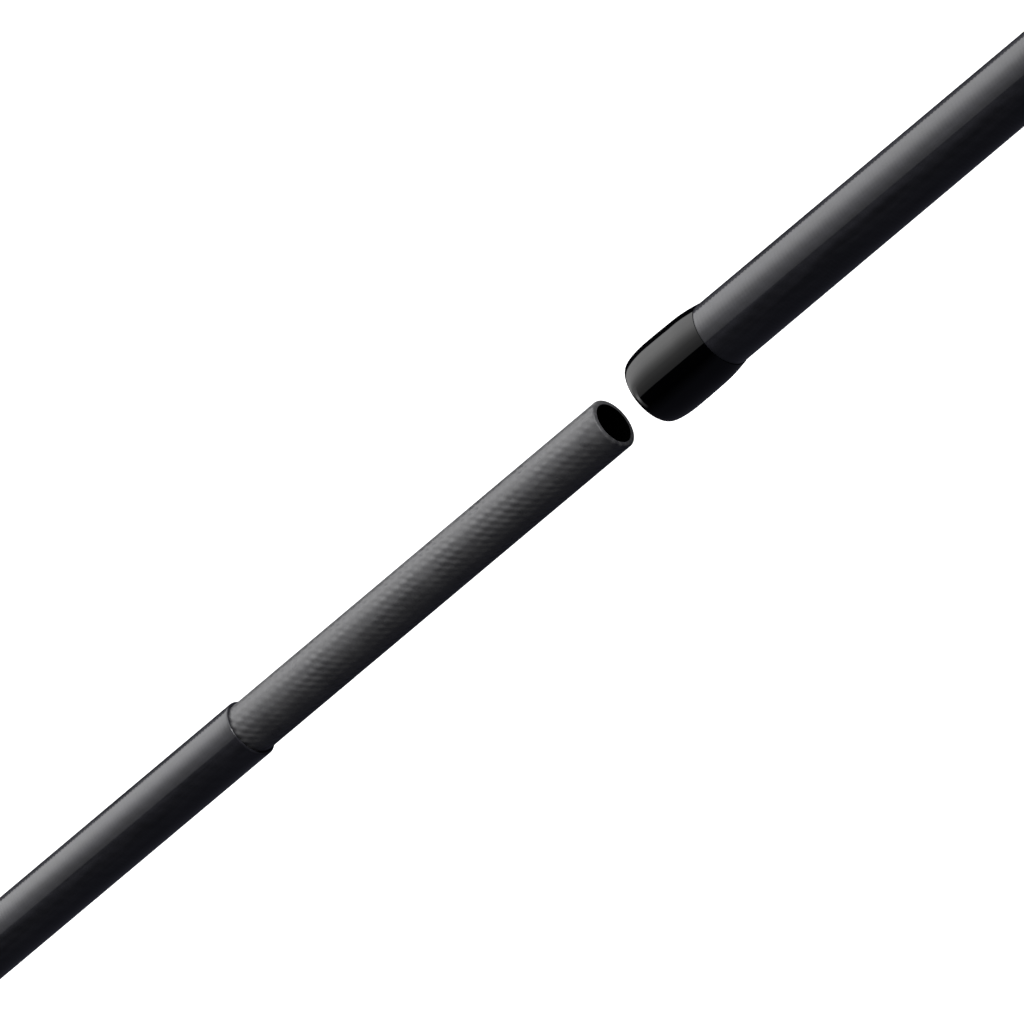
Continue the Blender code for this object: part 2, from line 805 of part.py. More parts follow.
def main():
    clear_scene()
    parts = new_collection("spinning_rod")
    tools = new_collection("cutters")
    butt = add_empty("butt_section", (0, 0, 0), parts)
    tip = add_empty("tip_section", (MOUTH, 0, 0), parts, butt)
    hood_body = add_empty("hood_slider", (0, 0, 0), parts, butt)
    nut_body = add_empty("nut_axis", (0, 0, 0), parts, hood_body)
    keeper_body = add_empty("keeper_pivot", (0, 0, 0), parts, butt)

    seat_start = build_handle(parts, tools, butt)
    seat_end = build_reel_seat(seat_start, parts, tools, butt, hood_body, nut_body)
    handle_end = build_fore_grip(seat_end, parts, butt)
    build_keeper(handle_end + KEEPER_AHEAD, parts, tools, butt, keeper_body)
    build_butt_blank(parts, butt)
    build_spigot(parts, butt)
    name, x, size = BUTT_GUIDE
    guide(name, BUTT_OUTSIDE, x, size, butt, parts, tools, True)

    build_tip_blank(parts, tip)
    build_collar(parts, tip)
    for name, x, size in TIP_GUIDES:
        guide(name, TIP_OUTSIDE, x, size, tip, parts, tools, name in TWO_FOOTED)
    build_tip_top(parts, tools, tip)
    for tool in tools.objects:
        tool.hide_render = True
        tool.display_type = "WIRE"


main()
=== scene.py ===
"""Looks of the two-piece spinning rod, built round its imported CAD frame.

Metres, in the CAD model's frame: the rod lies along +X from the butt cap at the origin, and its
reel seat and guides face down, to -Z. Round pieces are described by an outline of (x, radius)
points, and by the angle round the rod, which is 0 straight down and grows towards +Y.
"""

import math

import bmesh
import bpy
from mathutils import Matrix, Vector


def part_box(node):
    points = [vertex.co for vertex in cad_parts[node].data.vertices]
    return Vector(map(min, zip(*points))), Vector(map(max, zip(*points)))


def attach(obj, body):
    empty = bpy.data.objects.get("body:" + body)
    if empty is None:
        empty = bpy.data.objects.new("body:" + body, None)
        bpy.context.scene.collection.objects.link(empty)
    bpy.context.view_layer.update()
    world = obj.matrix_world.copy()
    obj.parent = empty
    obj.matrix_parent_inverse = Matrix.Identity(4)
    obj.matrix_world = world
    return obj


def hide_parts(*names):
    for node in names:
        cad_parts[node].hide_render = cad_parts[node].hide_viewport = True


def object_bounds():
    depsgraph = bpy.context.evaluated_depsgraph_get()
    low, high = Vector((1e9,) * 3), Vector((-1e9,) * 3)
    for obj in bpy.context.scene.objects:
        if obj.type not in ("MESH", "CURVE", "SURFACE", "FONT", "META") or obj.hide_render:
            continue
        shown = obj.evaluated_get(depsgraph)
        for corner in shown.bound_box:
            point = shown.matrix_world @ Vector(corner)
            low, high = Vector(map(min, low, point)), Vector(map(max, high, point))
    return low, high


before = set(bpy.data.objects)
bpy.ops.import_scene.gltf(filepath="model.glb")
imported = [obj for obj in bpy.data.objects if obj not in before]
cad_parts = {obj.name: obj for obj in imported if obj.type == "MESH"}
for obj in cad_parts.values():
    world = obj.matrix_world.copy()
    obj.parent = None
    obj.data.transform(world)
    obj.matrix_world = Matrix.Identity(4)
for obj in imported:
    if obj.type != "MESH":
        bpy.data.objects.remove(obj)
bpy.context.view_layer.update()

MM = 0.001

# Camera and light. The camera aims at a point on the rod, just behind the tip of the spigot.
TILT = math.radians(31.5)
IMAGE_ANGLE = math.radians(40.0)
ELEVATION = math.radians(20.0)
LENS = 300.0
DISTANCE = 1.1852
AIM_BEHIND = 21.8 * MM
AIM_BELOW = 0.36 * MM
FLOOR_DROP = 0.30
AMBIENT = 0.06
SOFTBOX_DISTANCE = 0.55
SOFTBOX_FROM = math.radians(10.0)
SOFTBOX_TO = math.radians(126.0)
SOFTBOX_LENGTH = 3.6
SOFTBOX_RADIANCE = 2.4
SOFTBOX_LEVELS = (
    (0.0, 0.14),
    (0.20, 0.19),
    (0.33, 0.28),
    (0.42, 0.50),
    (0.47, 0.69),
    (0.53, 0.92),
    (0.61, 0.97),
    (0.73, 0.78),
    (0.96, 0.48),
)
CARD_AWAY = 2.6
RIM_LEVELS = ((0.0, 0.0), (0.30, 0.25), (0.5, 1.0), (0.70, 0.25), (1.0, 0.0))
EVEN_LEVELS = ((0.0, 1.0), (1.0, 1.0))

# Sizes that the CAD model and these looks share.
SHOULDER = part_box("butt_blank")[1][0]
SPIGOT_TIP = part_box("spigot")[1][0]
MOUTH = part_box("ferrule_collar")[0][0]
BUTT_OUTSIDE = ((0.0, 6.38 * MM), (SHOULDER, 4.50 * MM))
BUTT_INSIDE = ((0.0, 5.20 * MM), (SHOULDER, 4.09 * MM))
SPIGOT_ROOT_RADIUS = 4.03 * MM
SPIGOT_TIP_RADIUS = 3.91 * MM
SPIGOT_BORE = 3.02 * MM
SOCKET_LENGTH = 92.0 * MM
TIP_OUTSIDE = (
    (0.0, 5.05 * MM),
    (SOCKET_LENGTH, 4.80 * MM),
    (0.300, 4.20 * MM),
    (0.600, 2.95 * MM),
    (0.900, 1.60 * MM),
    (1.078, 0.90 * MM),
)
TIP_END = 1.078
THREAD_PITCH = 1.5 * MM
SADDLE_DROP = 8.4 * MM
HOOD_FLAT_DROP = 8.0 * MM
HOOD_BORE = 9.85 * MM
NUT_BORE = 9.55 * MM
HOOD_BACK = 4.0 * MM
POCKET_DEPTH = 12.9 * MM
POCKET_HALF_WIDTH = 5.4 * MM
POCKET_WALL = 2.0 * MM
GUIDE_LEAN = math.radians(10)
TIP_TOP_LEAN = math.radians(20)
TWO_FOOTED = {"guide_1": 25.0 * MM, "guide_2": 16.0 * MM}
ONE_FOOTED = {
    "guide_3": 12.0 * MM,
    "guide_4": 8.0 * MM,
    "guide_5": 7.0 * MM,
    "guide_6": 6.0 * MM,
    "guide_7": 5.5 * MM,
}
TIP_RING_SIZE = 5.5 * MM
SLIP = 0.1 * MM
BLANK_TONE = (0.027, 0.027, 0.034)
RANGE_SOCKETS = ("From Min", "From Max", "To Min", "To Max")


# ---- shapes ----


def radius_at(profile, x):
    for (x0, r0), (x1, r1) in zip(profile, profile[1:]):
        if x <= x1:
            return r0 + (r1 - r0) * (x - x0) / (x1 - x0)
    return profile[-1][1]


def smooth(value):
    value = min(1.0, max(0.0, value))
    return value * value * (3 - 2 * value)


def span(node):
    """The first and last x of a CAD node, and its largest radius from the rod's axis."""
    low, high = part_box(node)
    return low[0], high[0], max(high[2], -low[2], high[1])


def stations(start, end, count):
    return [start + (end - start) * i / count for i in range(count + 1)]


def arc(x, r, edge, start_angle, end_angle, steps=5):
    """A rounded corner of an outline, round the centre (x, r)."""
    turns = [start_angle + (end_angle - start_angle) * i / steps for i in range(steps + 1)]
    return [
        (x + edge * math.cos(math.radians(turn)), r + edge * math.sin(math.radians(turn)))
        for turn in turns
    ]


def turned(name, outline, segments=96, shape=None):
    """A closed outline turned about the rod's axis. Points on the axis become one vertex.
    shape(x, radius, angle) may change a point's radius, to cut flats, threads and knurls."""
    mesh = bmesh.new()
    rings = []
    for x, radius in outline:
        if radius < 1e-7:
            rings.append([mesh.verts.new((x, 0, 0))])
            continue
        ring = []
        for i in range(segments):
            angle = math.tau * i / segments
            r = shape(x, radius, angle) if shape else radius
            ring.append(mesh.verts.new((x, r * math.sin(angle), -r * math.cos(angle))))
        rings.append(ring)
    for one, two in zip(rings, rings[1:] + rings[:1]):
        if len(one) == 1 and len(two) == 1:
            continue
        for i in range(segments):
            j = (i + 1) % segments
            corners = [one[i % len(one)], two[i % len(two)], two[j % len(two)], one[j % len(one)]]
            mesh.faces.new(list(dict.fromkeys(corners)))
    return made_from(name, mesh)


def made_from(name, mesh, sharp=40):
    bmesh.ops.recalc_face_normals(mesh, faces=mesh.faces)
    data = bpy.data.meshes.new(name)
    mesh.to_mesh(data)
    mesh.free()
    data.polygons.foreach_set("use_smooth", [True] * len(data.polygons))
    data.set_sharp_from_angle(angle=math.radians(sharp))
    piece = bpy.data.objects.new(name, data)
    bpy.context.scene.collection.objects.link(piece)
    return piece


def add_tube(mesh, points, radius, sides=14, flatten=None):
    """Sweeps a round or flattened section along a smooth curve through the points."""
    route = curve_through([Vector(p) for p in points])
    rings = []
    side = Vector((0, 1, 0))
    for i, point in enumerate(route):
        ahead = route[min(i + 1, len(route) - 1)] - route[max(i - 1, 0)]
        ahead.normalize()
        side = (side - ahead * side.dot(ahead)).normalized()
        up = ahead.cross(side)
        share = i / (len(route) - 1)
        wide, thick = flatten(share) if flatten else (1.0, 1.0)
        rings.append(
            [
                mesh.verts.new(
                    point
                    + side * radius * wide * math.cos(math.tau * k / sides)
                    + up * radius * thick * math.sin(math.tau * k / sides)
                )
                for k in range(sides)
            ]
        )
    for one, two in zip(rings, rings[1:]):
        for k in range(sides):
            mesh.faces.new([one[k], one[(k + 1) % sides], two[(k + 1) % sides], two[k]])
    mesh.faces.new(rings[0])
    mesh.faces.new(rings[-1])


def curve_through(points, steps=6):
    """A Catmull-Rom curve through the points."""
    padded = [2 * points[0] - points[1], *points, 2 * points[-1] - points[-2]]
    route = []
    for a, b, c, d in zip(padded, padded[1:], padded[2:], padded[3:]):
        for i in range(steps):
            t = i / steps
            route.append(
                0.5
                * (
                    2 * b
                    + (c - a) * t
                    + (2 * a - 5 * b + 4 * c - d) * t * t
                    + (3 * b - a - 3 * c + d) * t * t * t
                )
            )
    return [*route, points[-1]]


def add_ring(mesh, centre, major, minor, lean, long=72, short=16, flat=1.0):
    """A ring whose axis lies along the rod, leant about Y. flat widens its section along X."""
    turn = Matrix.Rotation(-lean, 3, "Y")
    rings = []
    for i in range(long):
        angle = math.tau * i / long
        ring = []
        for k in range(short):
            around = math.tau * k / short
            r = major + minor * math.cos(around)
            local = Vector((flat * minor * math.sin(around), r * math.sin(angle), -r * math.cos(angle)))
            ring.append(mesh.verts.new(Vector(centre) + turn @ local))
        rings.append(ring)
    for one, two in zip(rings, rings[1:] + rings[:1]):
        for k in range(short):
            mesh.faces.new([one[k], one[(k + 1) % short], two[(k + 1) % short], two[k]])


# ---- materials ----


class Look:
    """A Principled material with a small helper for its nodes."""

    def __init__(self, name, color, roughness, metallic=0.0, specular=0.5, coat=0.0, coat_rough=0.03):
        self.material = bpy.data.materials.new(name)
        self.material.use_nodes = True
        self.tree = self.material.node_tree
        self.shader = self.tree.nodes["Principled BSDF"]
        values = {
            "Base Color": (*color, 1.0),
            "Roughness": roughness,
            "Metallic": metallic,
            "Specular IOR Level": specular,
            "Coat Weight": coat,
            "Coat Roughness": coat_rough,
        }
        for socket, value in values.items():
            self.shader.inputs[socket].default_value = value
        self._place = None

    def node(self, kind, settings=None, **inputs):
        """A node with its inputs set by name, or by number as i0, i1 and so on."""
        made = self.tree.nodes.new("ShaderNode" + kind)
        for key, value in (settings or {}).items():
            setattr(made, key, value)
        for key, value in inputs.items():
            numbered = key[0] == "i" and key[1:].isdigit()
            self.set(made.inputs[int(key[1:]) if numbered else key], value)
        return made

    def set(self, socket, value):
        if isinstance(value, bpy.types.NodeSocket):
            self.tree.links.new(value, socket)
        else:
            socket.default_value = value

    def math(self, operation, one, two=0.0):
        return self.node("Math", {"operation": operation}, i0=one, i1=two).outputs[0]

    def place(self):
        """x, the angle round the rod from straight down, and the whole position, as sockets."""
        if self._place is None:
            here = self.node("TexCoord").outputs["Object"]
            parts = self.node("SeparateXYZ", i0=here).outputs
            below = self.math("MULTIPLY", parts[2], -1.0)
            self._place = (parts[0], self.math("ARCTAN2", parts[1], below), here)
        return self._place

    def noise(self, scale, detail=2.0, stretch=(1, 1, 1)):
        vector = self.node("Mapping", None, Vector=self.place()[2], Scale=stretch).outputs[0]
        return self.node("TexNoise", None, Vector=vector, Scale=scale, Detail=detail).outputs[0]

    def ramp(self, value, *stops):
        made = self.node("ValToRGB", None, Fac=value)
        elements = made.color_ramp.elements
        while len(elements) < len(stops):
            elements.new(0.5)
        for element, (position, color) in zip(elements, stops):
            element.position = position
            element.color = (*color, 1.0) if len(color) == 3 else color
        return made.outputs[0]

    def ease(self, value, low, high, out_low, out_high):
        """Maps low..high smoothly to out_low..out_high."""
        made = self.node("MapRange", {"interpolation_type": "SMOOTHSTEP"})
        for socket, number in zip(RANGE_SOCKETS, (low, high, out_low, out_high)):
            made.inputs[socket].default_value = number
        self.set(made.inputs["Value"], value)
        return made.outputs[0]

    def wave(self, value, period):
        """A sine of value with the given period, from -1 to 1."""
        return self.math("SINE", self.math("MULTIPLY", value, math.tau / period))

    def spiral(self, pitch, starts):
        """A sine wave along the rod that winds round it, with this many starts."""
        x, angle, _ = self.place()
        along = self.math("MULTIPLY", x, math.tau / pitch)
        return self.math("SINE", self.math("ADD", along, self.math("MULTIPLY", angle, starts)))

    def color(self, socket):
        self.set(self.shader.inputs["Base Color"], socket)

    def roughness(self, socket):
        self.set(self.shader.inputs["Roughness"], socket)

    def bump(self, height, depth, socket="Normal"):
        made = self.node("Bump", None, Strength=1.0, Distance=depth, Height=height)
        self.set(self.shader.inputs[socket], made.outputs[0])


def gloss_carbon(name):
    """Near-black blank under clear gloss, with the ridges left by its shrink tape."""
    look = Look(name, BLANK_TONE, 0.34, specular=0.2, coat=1.0, coat_rough=0.03)
    fibres = look.noise(900, 3.0, (0.12, 1.0, 1.0))
    bands = look.spiral(2.6 * MM, -9)
    blend = look.math("ADD", fibres, look.math("MULTIPLY", bands, 0.06))
    low = tuple(c * 0.75 for c in BLANK_TONE)
    high = tuple(c * 1.25 for c in BLANK_TONE)
    look.color(look.ramp(blend, (0.3, low), (0.7, high)))
    look.roughness(look.ease(fibres, 0.3, 0.7, 0.29, 0.40))
    soft = look.noise(260, 2.0)
    look.bump(soft, 0.012 * MM)
    ridges = look.spiral(0.65 * MM, -1)
    height = look.math("ADD", ridges, look.math("MULTIPLY", soft, 1.4))
    look.bump(height, 0.0055 * MM, socket="Coat Normal")
    return look.material


def woven_carbon(name):
    """Bare sanded carbon braid, satin grey outside. Inside the bore the colour is painted near black
    and has no specular: painted shade for the hollow. One set of tows stands prouder than the set that
    crosses it, and the sanding has flattened some of it."""
    look = Look(name, (0.11, 0.11, 0.115), 0.33, specular=0.5)
    cells = look.math("MULTIPLY", look.spiral(3.0 * MM, -9), look.spiral(3.0 * MM, 9))
    proud = look.spiral(1.5 * MM, -18)
    worn = look.ease(look.noise(210, 2.0), 0.38, 0.62, 0.3, 1.0)
    grain = look.noise(3600, 3.0)
    patches = look.noise(330, 2.0)
    tone = look.math("ADD", look.math("MULTIPLY", cells, 0.07), look.math("MULTIPLY", grain, 0.40))
    tone = look.math("ADD", tone, look.math("MULTIPLY", patches, 0.55))
    fibre = look.ramp(tone, (0.25, (0.075, 0.075, 0.080)), (0.75, (0.138, 0.138, 0.142)))
    _, _, here = look.place()
    # Painted shade: near the bore the colour goes to near black and the specular to nothing, so the
    # hollow reads dark under any light.
    across = look.node("VectorMath", {"operation": "MULTIPLY"}, i0=here, i1=(0.0, 1.0, 1.0))
    radius = look.node("VectorMath", {"operation": "LENGTH"}, i0=across.outputs[0]).outputs["Value"]
    outside = look.ease(radius, SPIGOT_BORE + 0.05 * MM, SPIGOT_BORE + 0.2 * MM, 0.0, 1.0)
    fibre_or_painted_bore_shade = look.node("Mix", {"data_type": "RGBA"}, i0=outside)
    fibre_or_painted_bore_shade.inputs[6].default_value = (0.0008, 0.0008, 0.0008, 1.0)
    look.set(fibre_or_painted_bore_shade.inputs[7], fibre)
    look.color(fibre_or_painted_bore_shade.outputs[2])
    look.set(look.shader.inputs["Specular IOR Level"], look.math("MULTIPLY", outside, 0.5))
    look.roughness(look.ease(patches, 0.3, 0.7, 0.27, 0.39))
    height = look.math("ADD", cells, look.math("MULTIPLY", proud, 0.8))
    height = look.math("MULTIPLY", height, worn)
    height = look.math("ADD", height, look.math("MULTIPLY", grain, 0.3))
    look.bump(height, 0.040 * MM)
    return look.material


def black_gloss(name):
    """The thick gloss of the collar: deep black, with the faintest waviness of a dipped coat."""
    look = Look(name, (0.0006, 0.0006, 0.0008), 0.03)
    flow = look.noise(120, 1.0)
    look.color(look.ramp(flow, (0.3, (0.0004, 0.0004, 0.0006)), (0.7, (0.0009, 0.0009, 0.0012))))
    look.roughness(look.ease(flow, 0.3, 0.7, 0.02, 0.05))
    look.bump(flow, 0.004 * MM)
    return look.material


def foam(name):
    """Ground EVA: charcoal, with open cells and a dusty sheen."""
    look = Look(name, (0.02, 0.02, 0.021), 0.9, specular=0.25)
    look.shader.inputs["Sheen Weight"].default_value = 0.25
    here = look.place()[2]
    cells = look.node("TexVoronoi", None, Vector=here, Scale=2300.0).outputs["Distance"]
    speck = look.noise(3200, 3.0)
    broad = look.noise(60, 2.0)
    tone = look.math("ADD", look.math("MULTIPLY", speck, 0.6), look.math("MULTIPLY", broad, 0.4))
    look.color(look.ramp(tone, (0.3, (0.013, 0.013, 0.014)), (0.75, (0.036, 0.036, 0.038))))
    look.roughness(look.ease(speck, 0.3, 0.7, 0.8, 0.96))
    look.bump(look.math("ADD", cells, look.math("MULTIPLY", speck, 0.5)), 0.10 * MM)
    return look.material


def rubber(name):
    look = Look(name, (0.014, 0.014, 0.015), 0.62, specular=0.35)
    dust = look.noise(420, 4.0)
    look.color(look.ramp(dust, (0.35, (0.010, 0.010, 0.011)), (0.75, (0.026, 0.026, 0.027))))
    look.roughness(look.ease(dust, 0.3, 0.7, 0.52, 0.74))
    look.bump(look.noise(2600, 2.0), 0.02 * MM)
    return look.material


def moulded(name):
    """Glass-filled nylon with a fine spark-eroded grain."""
    look = Look(name, (0.014, 0.014, 0.016), 0.42)
    grain = look.noise(5200, 2.0)
    cloud = look.noise(90, 2.0)
    look.color(look.ramp(cloud, (0.3, (0.010, 0.010, 0.012)), (0.7, (0.018, 0.018, 0.020))))
    look.roughness(look.ease(grain, 0.3, 0.7, 0.34, 0.50))
    look.bump(grain, 0.02 * MM)
    return look.material


def lathed_metal(name, color, roughness):
    """Turned metal: fine tool marks run round the rod, and the tone drifts a little."""
    look = Look(name, color, roughness, metallic=1.0)
    x, _, _ = look.place()
    marks = look.noise(900, 3.0, (9.0, 0.25, 0.25))
    rings = look.wave(x, 0.11 * MM)
    low = tuple(c * 0.78 for c in color)
    look.color(look.ramp(marks, (0.3, low), (0.7, color)))
    look.roughness(look.ease(marks, 0.25, 0.75, roughness - 0.07, roughness + 0.10))
    look.bump(look.math("ADD", marks, look.math("MULTIPLY", rings, 0.12)), 0.004 * MM)
    return look.material


def plated_wire(name, color=(0.17, 0.175, 0.19)):
    """Smoke-plated steel, polished by tumbling, with small scuffs."""
    look = Look(name, color, 0.2, metallic=1.0)
    scuffs = look.noise(1400, 4.0)
    cloud = look.noise(160, 2.0)
    low = tuple(c * 0.7 for c in color)
    look.color(look.ramp(cloud, (0.3, low), (0.7, color)))
    look.roughness(look.ease(scuffs, 0.35, 0.75, 0.14, 0.34))
    look.bump(scuffs, 0.003 * MM)
    return look.material


def ceramic(name):
    look = Look(name, (0.028, 0.029, 0.034), 0.1, specular=0.65)
    cloud = look.noise(300, 2.0)
    look.color(look.ramp(cloud, (0.3, (0.020, 0.021, 0.025)), (0.7, (0.040, 0.042, 0.048))))
    look.roughness(look.ease(cloud, 0.3, 0.7, 0.06, 0.14))
    return look.material


def thread_wrap(name):
    """Close turns of dark thread, soaked with clear epoxy that rounds them over."""
    look = Look(name, (0.012, 0.013, 0.020), 0.5, coat=1.0, coat_rough=0.04)
    x, angle, _ = look.place()
    helix = look.math("ADD", x, look.math("MULTIPLY", angle, 0.22 * MM / math.tau))
    turns = look.wave(helix, 0.22 * MM)
    fuzz = look.noise(2600, 3.0)
    tone = look.math("ADD", look.math("MULTIPLY", turns, 0.22), fuzz)
    look.color(look.ramp(tone, (0.25, (0.006, 0.006, 0.010)), (0.75, (0.030, 0.032, 0.050))))
    look.roughness(look.ease(fuzz, 0.3, 0.7, 0.42, 0.6))
    flow = look.noise(150, 1.0)
    look.bump(look.math("ADD", look.math("MULTIPLY", turns, 0.3), fuzz), 0.010 * MM)
    look.bump(flow, 0.02 * MM, socket="Coat Normal")
    return look.material


def paper_tape(name):
    look = Look(name, (0.6, 0.56, 0.42), 0.85)
    fibres = look.noise(700, 3.0, (1.0, 0.2, 0.2))
    look.color(look.ramp(fibres, (0.3, (0.50, 0.46, 0.33)), (0.7, (0.66, 0.62, 0.48))))
    look.roughness(look.ease(fibres, 0.3, 0.7, 0.78, 0.92))
    look.bump(fibres, 0.02 * MM)
    return look.material


MATERIALS = {
    "blank": gloss_carbon("gloss_carbon"),
    "spigot": woven_carbon("woven_carbon"),
    "collar": black_gloss("black_gloss"),
    "foam": foam("eva_foam"),
    "rubber": rubber("cap_rubber"),
    "seat": moulded("moulded_nylon"),
    "trim": lathed_metal("satin_aluminium", (0.50, 0.51, 0.53), 0.28),
    "hood": lathed_metal("plated_hood", (0.26, 0.265, 0.28), 0.30),
    "nut": lathed_metal("anodised_nut", (0.22, 0.225, 0.24), 0.30),
    "frame": plated_wire("plated_wire"),
    "ceramic": ceramic("guide_ceramic"),
    "wrap": thread_wrap("thread_wrap"),
    "arbor": paper_tape("paper_tape"),
}


def adopt(piece, look, node, body, *more_nodes):
    """Gives a piece its material, its body and the CAD nodes that it stands for."""
    piece.data.materials.append(MATERIALS[look])
    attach(piece, body)
    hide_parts(node, *more_nodes)
    return piece


# ---- the ferrule ----


def build_butt_blank():
    start, end, _ = span("butt_blank")
    edge = 0.26 * MM
    outer = radius_at(BUTT_OUTSIDE, end)
    inner = radius_at(BUTT_INSIDE, end)
    outline = [(x, radius_at(BUTT_OUTSIDE, x)) for x in stations(start, end - 2 * MM, 24)]
    outline += arc(end - edge, outer - edge, edge, 90, 0)
    outline += arc(end - 0.1 * MM, inner + 0.1 * MM, 0.1 * MM, 0, -90, 3)
    outline += [(start, radius_at(BUTT_INSIDE, start))]
    adopt(turned("butt_tube", outline, 160), "blank", "butt_blank", "butt_section")


def spigot_radius(x):
    share = (x - SHOULDER) / (SPIGOT_TIP - SHOULDER)
    return SPIGOT_ROOT_RADIUS + (SPIGOT_TIP_RADIUS - SPIGOT_ROOT_RADIUS) * max(share, 0)


def build_spigot():
    start, end, _ = span("spigot")
    edge = 0.32 * MM
    outline = [(start, SPIGOT_ROOT_RADIUS - 0.1 * MM)]
    outline += [(x, spigot_radius(x)) for x in stations(start + 0.2 * MM, end - 0.5 * MM, 40)]
    outline += arc(end - edge, SPIGOT_TIP_RADIUS - edge, edge, 90, 0, 6)
    outline += arc(end - 0.15 * MM, SPIGOT_BORE + 0.15 * MM, 0.15 * MM, 0, -90, 4)
    outline += [(start, SPIGOT_BORE)]
    adopt(turned("spigot_tube", outline, 160), "spigot", "spigot", "butt_section")


def build_tip_blank():
    start = span("tip_socket")[0]
    end = MOUTH + TIP_END
    bore = 4.12 * MM
    deep = MOUTH + 76.1 * MM
    outside = [*stations(start, start + 0.3, 30)[:-1], *stations(start + 0.3, end, 40)]
    outline = [(x, radius_at(TIP_OUTSIDE, x - MOUTH)) for x in outside]
    outline += [(end, 0), (MOUTH + 0.852, 0), (MOUTH + 0.85, 0.8 * MM), (MOUTH + 0.6, 1.9 * MM)]
    outline += [(MOUTH + 0.3, 3.0 * MM), (deep + 3 * MM, 3.6 * MM), (deep, 4.01 * MM), (start, bore)]
    adopt(turned("tip_tube", outline, 160), "blank", "tip_blank", "tip_section", "tip_socket")


def build_collar():
    """The swollen mouth of the socket: a rounded nose, a barely tapering belly, and a tail that
    runs out smoothly onto the blank."""
    start, _, widest = span("ferrule_collar")
    lip = 4.89 * MM
    nose = 4.47 * MM
    hold = 9.6 * MM
    hold_radius = 5.60 * MM
    runout = 14.1 * MM
    tail = 5.12 * MM
    outline = [
        (start + nose * (1 - math.cos(turn)), lip + (widest - lip) * math.sin(turn))
        for turn in (math.pi / 2 * step / 16 for step in range(17))
    ]
    outline += [
        (start + nose + (hold - nose) * q, widest - (widest - hold_radius) * q * q)
        for q in (0.2, 0.4, 0.6, 0.8, 1)
    ]
    outline += [
        (
            start + hold + (runout - hold) * q,
            hold_radius - (hold_radius - tail) * q * q * (1.35 - 0.35 * q),
        )
        for q in stations(0.08, 1, 14)
    ]
    step = start + 0.8 * MM
    outline += [(start + runout, 4.95 * MM), (step, 4.95 * MM), (step, 4.22 * MM)]
    outline += arc(start + 0.3 * MM, 4.52 * MM, 0.3 * MM, 270, 180, 5)
    adopt(turned("mouth_collar", outline, 160), "collar", "ferrule_collar", "tip_section")


# ---- the handle ----


def sleeve_on_blank(outside):
    """The outline of a sleeve on the butt blank, from its outside listed towards +X."""
    start, end = outside[0][0], outside[-1][0]
    bore = [(x, radius_at(BUTT_OUTSIDE, x) + SLIP) for x in (end, start)]
    return [*outside, *bore]


def build_cap():
    start, end, radius = span("butt_cap")
    bore = radius_at(BUTT_OUTSIDE, end) + SLIP
    outline = [(start, 0), (start, 4.0 * MM)]
    outline += [(start + 0.35 * MM, 4.3 * MM), (start + 0.35 * MM, 4.9 * MM)]
    outline += [(start, 5.2 * MM)]
    outline += arc(start + 2.2 * MM, radius - 2.2 * MM, 2.2 * MM, 180, 90, 8)
    outline += [
        (x, radius - 0.6 * MM * smooth((x - start - 2.2 * MM) / (end - start)))
        for x in stations(start + 3 * MM, end - 0.3 * MM, 60)
    ]
    outline += [(end, radius - 0.9 * MM), (end, bore), (start + 4 * MM, bore), (start + 4 * MM, 0)]

    def grooves(x, r, angle):
        if r < 10 * MM or not start + 3.4 * MM < x < end - 2.0 * MM:
            return r
        return r - 0.35 * MM * max(0.0, math.sin(math.tau * (x - start) / (1.6 * MM))) ** 0.5

    adopt(turned("cap_moulding", outline, 96, grooves), "rubber", "butt_cap", "butt_section")


def build_trims():
    for node, name in (("butt_trim_ring", "trim_band"), ("rear_check", "rear_check_band")):
        start, end, radius = span(node)
        edge = 0.45 * MM
        middle = (start + end) / 2
        outline = arc(start + edge, radius - edge, edge, 180, 90)
        outline += [(middle - 0.3 * MM, radius), (middle - 0.15 * MM, radius - 0.3 * MM)]
        outline += [(middle + 0.15 * MM, radius - 0.3 * MM), (middle + 0.3 * MM, radius)]
        outline += arc(end - edge, radius - edge, edge, 90, 0)
        adopt(turned(name, sleeve_on_blank(outline), 96), "trim", node, "butt_section")
    start, end, radius = span("fore_check")
    tail = radius_at(BUTT_OUTSIDE, start) + 0.6 * MM
    outline = arc(start + 0.2 * MM, radius - 0.2 * MM, 0.2 * MM, 180, 90, 3)
    outline += [
        (
            start + 1 * MM + (end - start - 1 * MM) * q,
            radius - (radius - tail) * (1 - math.cos(q * math.pi / 2)),
        )
        for q in (0, 0.2, 0.4, 0.6, 0.8, 0.95, 1)
    ]
    adopt(turned("fore_check_cone", sleeve_on_blank(outline), 96), "trim", "fore_check", "butt_section")


def rounded_course(points, count, edge):
    """A smooth outside through the points, with rounded ends."""
    route = curve_through([Vector((x, r, 0)) for x, r in points], count)
    course = [(p.x, p.y) for p in route if points[0][0] + edge < p.x < points[-1][0] - edge]
    start, end = points[0], points[-1]
    first = arc(start[0] + edge, course[0][1] - edge, edge, 180, 90, 6)
    last = arc(end[0] - edge, course[-1][1] - edge, edge, 90, 0, 6)
    return [*first, *course, *last]


